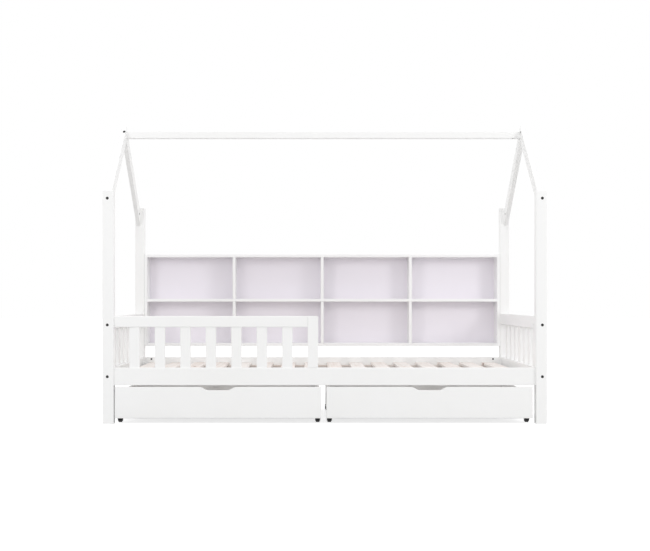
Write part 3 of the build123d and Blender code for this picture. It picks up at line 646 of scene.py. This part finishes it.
def turned_over(tree, geometry, angles):
    """Turn a shape about its origin."""
    turned = add_node(tree, "GeometryNodeTransform", {"Geometry": geometry, "Rotation": angles})
    return turned.outputs["Geometry"]


def cylinder(tree, vertices, radius, depth):
    inputs = {"Vertices": vertices, "Radius": radius, "Depth": depth}
    return add_node(tree, "GeometryNodeMeshCylinder", inputs).outputs["Mesh"]


nut_sides = 32
nut_tree, given = new_growth(
    "barrel nuts",
    Radius="NodeSocketFloat",
    Length="NodeSocketFloat",
    Chamfer="NodeSocketFloat",
    Slot_width="NodeSocketFloat",
    Slot_depth="NodeSocketFloat",
    Thread_radius="NodeSocketFloat",
)

# The chamfers are what is left of the blank inside two wide cones, one from each end. They
# start a chamfer beyond one end and stop half a chamfer beyond the other.
cone_start = plus(
    nut_tree, times(nut_tree, given["Length"], -0.5), times(nut_tree, given["Chamfer"], -1.0)
)
chamfer_cone = add_node(
    nut_tree,
    "GeometryNodeMeshCone",
    {
        "Vertices": nut_sides,
        "Radius Top": plus(nut_tree, given["Radius"], times(nut_tree, given["Chamfer"], -1.5)),
        "Radius Bottom": plus(nut_tree, given["Radius"], given["Length"]),
        "Depth": plus(nut_tree, given["Length"], times(nut_tree, given["Chamfer"], 1.5)),
    },
).outputs["Mesh"]
upper_cone = raised(nut_tree, chamfer_cone, cone_start)
lower_cone = turned_over(nut_tree, upper_cone, (math.pi, 0, 0))
chamfered = add_node(nut_tree, "GeometryNodeMeshBoolean", operation="INTERSECT", solver="EXACT")
nut_blank = cylinder(nut_tree, nut_sides, given["Radius"], given["Length"])
for geometry in (nut_blank, upper_cone, lower_cone):
    nut_tree.links.new(geometry, chamfered.inputs["Mesh 2"])
through = times(nut_tree, given["Radius"], 2.4)
slot_cutter = cube(
    nut_tree, X=through, Y=given["Slot width"], Z=times(nut_tree, given["Slot depth"], 2.0)
)
cutters = [
    raised(nut_tree, slot_cutter, times(nut_tree, given["Length"], share)) for share in (-0.5, 0.5)
]
thread_rod = cylinder(nut_tree, 24, given["Thread radius"], through)
cutters.append(turned_over(nut_tree, thread_rod, (0, math.pi / 2, 0)))
nut_shape = cut_out(nut_tree, chamfered.outputs["Mesh"], cutters)
set_nuts = set_along_ways(nut_tree, given["Geometry"], nut_shape, "thread")
# The nuts take the bolts' near-black finish as painted shade of the deep holes they sit in.
end_growth(nut_tree, set_nuts, blackened_steel("painted hole shade of barrel nuts"))

nut_boxes = solid_boxes("barrel_nuts")
nut_middles = [(low + high) / 2 for low, high in nut_boxes]
bolt_boxes = solid_boxes("frame_bolts") + solid_boxes("roof_bolts")
nut_threads = [
    longest_way(low, high)
    for middle in nut_middles
    for low, high in bolt_boxes
    if all(low[axis] < middle[axis] < high[axis] for axis in range(3))
]
barrel_nuts = carrier_points(
    "slotted_barrel_nuts",
    nut_middles,
    way=[longest_way(low, high) for low, high in nut_boxes],
    thread=nut_threads,
)
nut_sizes = {
    "Radius": 0.005,
    "Length": 0.016,
    "Chamfer": 0.0005,
    "Slot width": 0.0014,
    "Slot depth": 0.0012,
    "Thread radius": 0.0031,
}
run_nodes(barrel_nuts, nut_tree, nut_sizes)
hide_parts("barrel_nuts")
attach(barrel_nuts, "bed")

# Drawers: boards of the same painted pine round a thin bottom that slides into a groove. The
# front stands proud of the box at both ends and above it.
drawers = ("left_drawer", "right_drawer")
for drawer in drawers:
    coat(lengthwise_paint, f"{drawer}_front", f"{drawer}_back")
    coat(crosswise_paint, f"{drawer}_left_side", f"{drawer}_right_side")
    coat(board_paint, f"{drawer}_bottom")

# Castors: a moulded fork with a peg pushed up into the drawer's side, a steel axle and a hard
# plastic wheel with rounded shoulders, a dished hub and two fine grooves round its tread.


def moulded_plastic(name, colour, scuffed):
    """Hard plastic from a mould, lightly scuffed by the floor."""
    grain_depth = 0.00003
    finish, tree, shader, place = new_finish(name)
    scuffs = noise(tree, place, 400.0, detail=4.0)
    grain = noise(tree, place, 2600.0, detail=1.0)
    dress(
        tree,
        shader,
        blend_colour(tree, spread(tree, scuffs, 0.0, 0.8, low=0.5, high=0.75), colour, scuffed),
        spread(tree, scuffs, 0.4, 0.6),
        bump(tree, grain, grain_depth),
    )
    return finish


fork_grey, scuffed_fork = (0.09, 0.09, 0.095, 1.0), (0.16, 0.16, 0.16, 1.0)
wheel_black, scuffed_wheel = (0.016, 0.016, 0.017, 1.0), (0.06, 0.06, 0.058, 1.0)
fork_plastic = moulded_plastic("grey plastic of castor forks", fork_grey, scuffed_fork)
wheel_plastic = moulded_plastic("black plastic of wheels", wheel_black, scuffed_wheel)
axle_steel = plated_steel("zinc of castor axles")
wheel_bore = 0.0021
hub_radius = 0.0042
hub_set_back = 0.0015
dish_set_back = 0.0028
dish_slope = 0.0008
rim_set_back = 0.0006
rim_width = 0.0044
shoulder = 0.0038
shoulder_steps = 6
groove_place = 0.0025
groove_depth = 0.0006
wheel_turns = 48


def wheel_outline(half, radius):
    """The wheel's section as points of place along the axle and distance from it."""
    outline = [
        (half - hub_set_back, wheel_bore),
        (half - hub_set_back, hub_radius),
        (half - dish_set_back, hub_radius + dish_slope),
        (half - dish_set_back, radius - rim_width - dish_slope),
        (half - rim_set_back, radius - rim_width),
    ]
    for step in range(shoulder_steps + 1):
        angle = math.pi / 2 * step / shoulder_steps
        along = half - shoulder + shoulder * math.cos(angle)
        outline.append((along, radius - shoulder + shoulder * math.sin(angle)))
    outline += [
        (groove_place + groove_depth, radius),
        (groove_place, radius - groove_depth),
        (groove_place - groove_depth, radius),
    ]
    return outline + [(-along, out) for along, out in reversed(outline)]


def turned_wheel(name, low, high):
    """A wheel turned about its axle, which runs along X, inside the box of its CAD node."""
    centre = (Vector(low) + Vector(high)) / 2
    outline = wheel_outline((high[0] - low[0]) / 2, (high[2] - low[2]) / 2)
    rings = len(outline)
    vertices = []
    faces = []
    for turn in range(wheel_turns):
        angle = 2 * math.pi * turn / wheel_turns
        here = turn * rings
        following = (turn + 1) % wheel_turns * rings
        for ring, (along, out) in enumerate(outline):
            spoke = Vector((along, out * math.cos(angle), out * math.sin(angle)))
            vertices.append(tuple(centre + spoke))
            beside = (ring + 1) % rings
            faces.append((here + ring, here + beside, following + beside, following + ring))
    mesh = bpy.data.meshes.new(name)
    mesh.from_pydata(vertices, [], faces)
    mesh.update()
    mesh.materials.append(wheel_plastic)
    wheel = bpy.data.objects.new(name, mesh)
    bpy.context.scene.collection.objects.link(wheel)
    return wheel


for drawer in drawers:
    coat(fork_plastic, f"{drawer}_castor_forks")
    coat(axle_steel, f"{drawer}_castor_axles")
    for corner in ("front_left", "front_right", "rear_left", "rear_right"):
        node_name = f"{drawer}_{corner}_wheel"
        wheel = turned_wheel(f"{drawer}_{corner}_castor_wheel", *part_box(node_name))
        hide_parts(node_name)
        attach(wheel, node_name)

# The studio floor: a wide pale sheet that fades into a white surround. The eye and mirrors
# see it white, but for a narrow faint shadow close under the drawers.


def seen_rays(tree):
    """1 for rays that show the surroundings, from the eye, a mirror or glass."""
    rays = add_node(tree, "ShaderNodeLightPath").outputs
    seen = rays["Is Camera Ray"]
    for kind in ("Is Glossy Ray", "Is Transmission Ray"):
        either = add_node(tree, "ShaderNodeMath", {0: seen, 1: rays[kind]}, operation="MAXIMUM")
        seen = either.outputs["Value"]
    return seen


floor_reach = 30.0
floor_grey = (0.6, 0.6, 0.6, 1.0)
floor_glow_strength = 0.75
floor_ways = ((-1, -1), (1, -1), (1, 1), (-1, 1))
floor_corners = [(x * floor_reach, y * floor_reach, 0) for x, y in floor_ways]
floor_mesh = bpy.data.meshes.new("floor")
floor_mesh.from_pydata(floor_corners, [], [(0, 1, 2, 3)])
floor = bpy.data.objects.new("floor", floor_mesh)
bpy.context.scene.collection.objects.link(floor)
floor_finish = bpy.data.materials.new("studio floor")
floor_finish.use_nodes = True
floor_tree = floor_finish.node_tree
floor_tree.nodes.clear()
floor_paint = add_node(floor_tree, "ShaderNodeBsdfDiffuse", {"Color": floor_grey})
glow_strength = times(floor_tree, seen_rays(floor_tree), floor_glow_strength)
floor_glow = add_node(floor_tree, "ShaderNodeEmission", {"Strength": glow_strength})
floor_both = add_node(
    floor_tree,
    "ShaderNodeAddShader",
    {0: floor_paint.outputs["BSDF"], 1: floor_glow.outputs["Emission"]},
)
add_node(floor_tree, "ShaderNodeOutputMaterial", {"Surface": floor_both.outputs["Shader"]})
floor_mesh.materials.append(floor_finish)

# The studio's light: a white surround and five soft boxes, two in front of the bed, one at
# each side and one overhead, all pointed at its middle.
ambient = 0.82
world = bpy.data.worlds.new("studio")
bpy.context.scene.world = world
world.use_nodes = True
world_tree = world.node_tree
world_tree.nodes.clear()
world_strength = spread(world_tree, seen_rays(world_tree), ambient, 1.0, low=0.0, high=1.0)
surround = add_node(
    world_tree, "ShaderNodeBackground", {"Color": (1, 1, 1, 1), "Strength": world_strength}
)
add_node(world_tree, "ShaderNodeOutputWorld", {"Surface": surround.outputs["Background"]})

bed_middle = Vector((0, 0, 0.6))
lamp_distance = 5.0


def studio_lamp(name, turn, rise, size, power):
    """A soft box, by its turn from the bed's front to the right and its rise, in degrees."""
    level = lamp_distance * math.cos(math.radians(rise))
    away = Vector((level * math.sin(math.radians(turn)), -level * math.cos(math.radians(turn)), 0))
    away.z = lamp_distance * math.sin(math.radians(rise))
    light = bpy.data.lights.new(name, "AREA")
    light.shape = "SQUARE"
    light.size = size
    light.energy = power
    lamp = bpy.data.objects.new(name, light)
    lamp.location = bed_middle + away
    lamp.rotation_euler = (-away).to_track_quat("-Z", "Y").to_euler()
    bpy.context.scene.collection.objects.link(lamp)


studio_lamp("left lamp", turn=-33, rise=14, size=1.2, power=29)
studio_lamp("right lamp", turn=48, rise=14, size=1.2, power=37)
studio_lamp("right side fill", turn=95, rise=10, size=2.5, power=30)
studio_lamp("left side fill", turn=-95, rise=10, size=2.5, power=30)
studio_lamp("lamp overhead", turn=0, rise=70, size=2.5, power=46)

# The camera stands in front of the bed, level, a little left of its middle, and low enough
# to look just over the slats.
camera_side = -0.0745
camera_height = 0.561
camera_distance = 5.411
front_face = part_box("front_left_post")[0][1]
camera = bpy.data.cameras.new("camera")
camera.sensor_width = 36.0
camera.lens = 66.0
camera.shift_x = 0.0255
camera.shift_y = 0.0385
camera_object = bpy.data.objects.new("camera", camera)
camera_object.location = (camera_side, front_face - camera_distance, camera_height)
camera_object.rotation_euler = (math.pi / 2, 0, 0)
bpy.context.scene.collection.objects.link(camera_object)
bpy.context.scene.camera = camera_object
bpy.context.scene.view_settings.view_transform = "Standard"
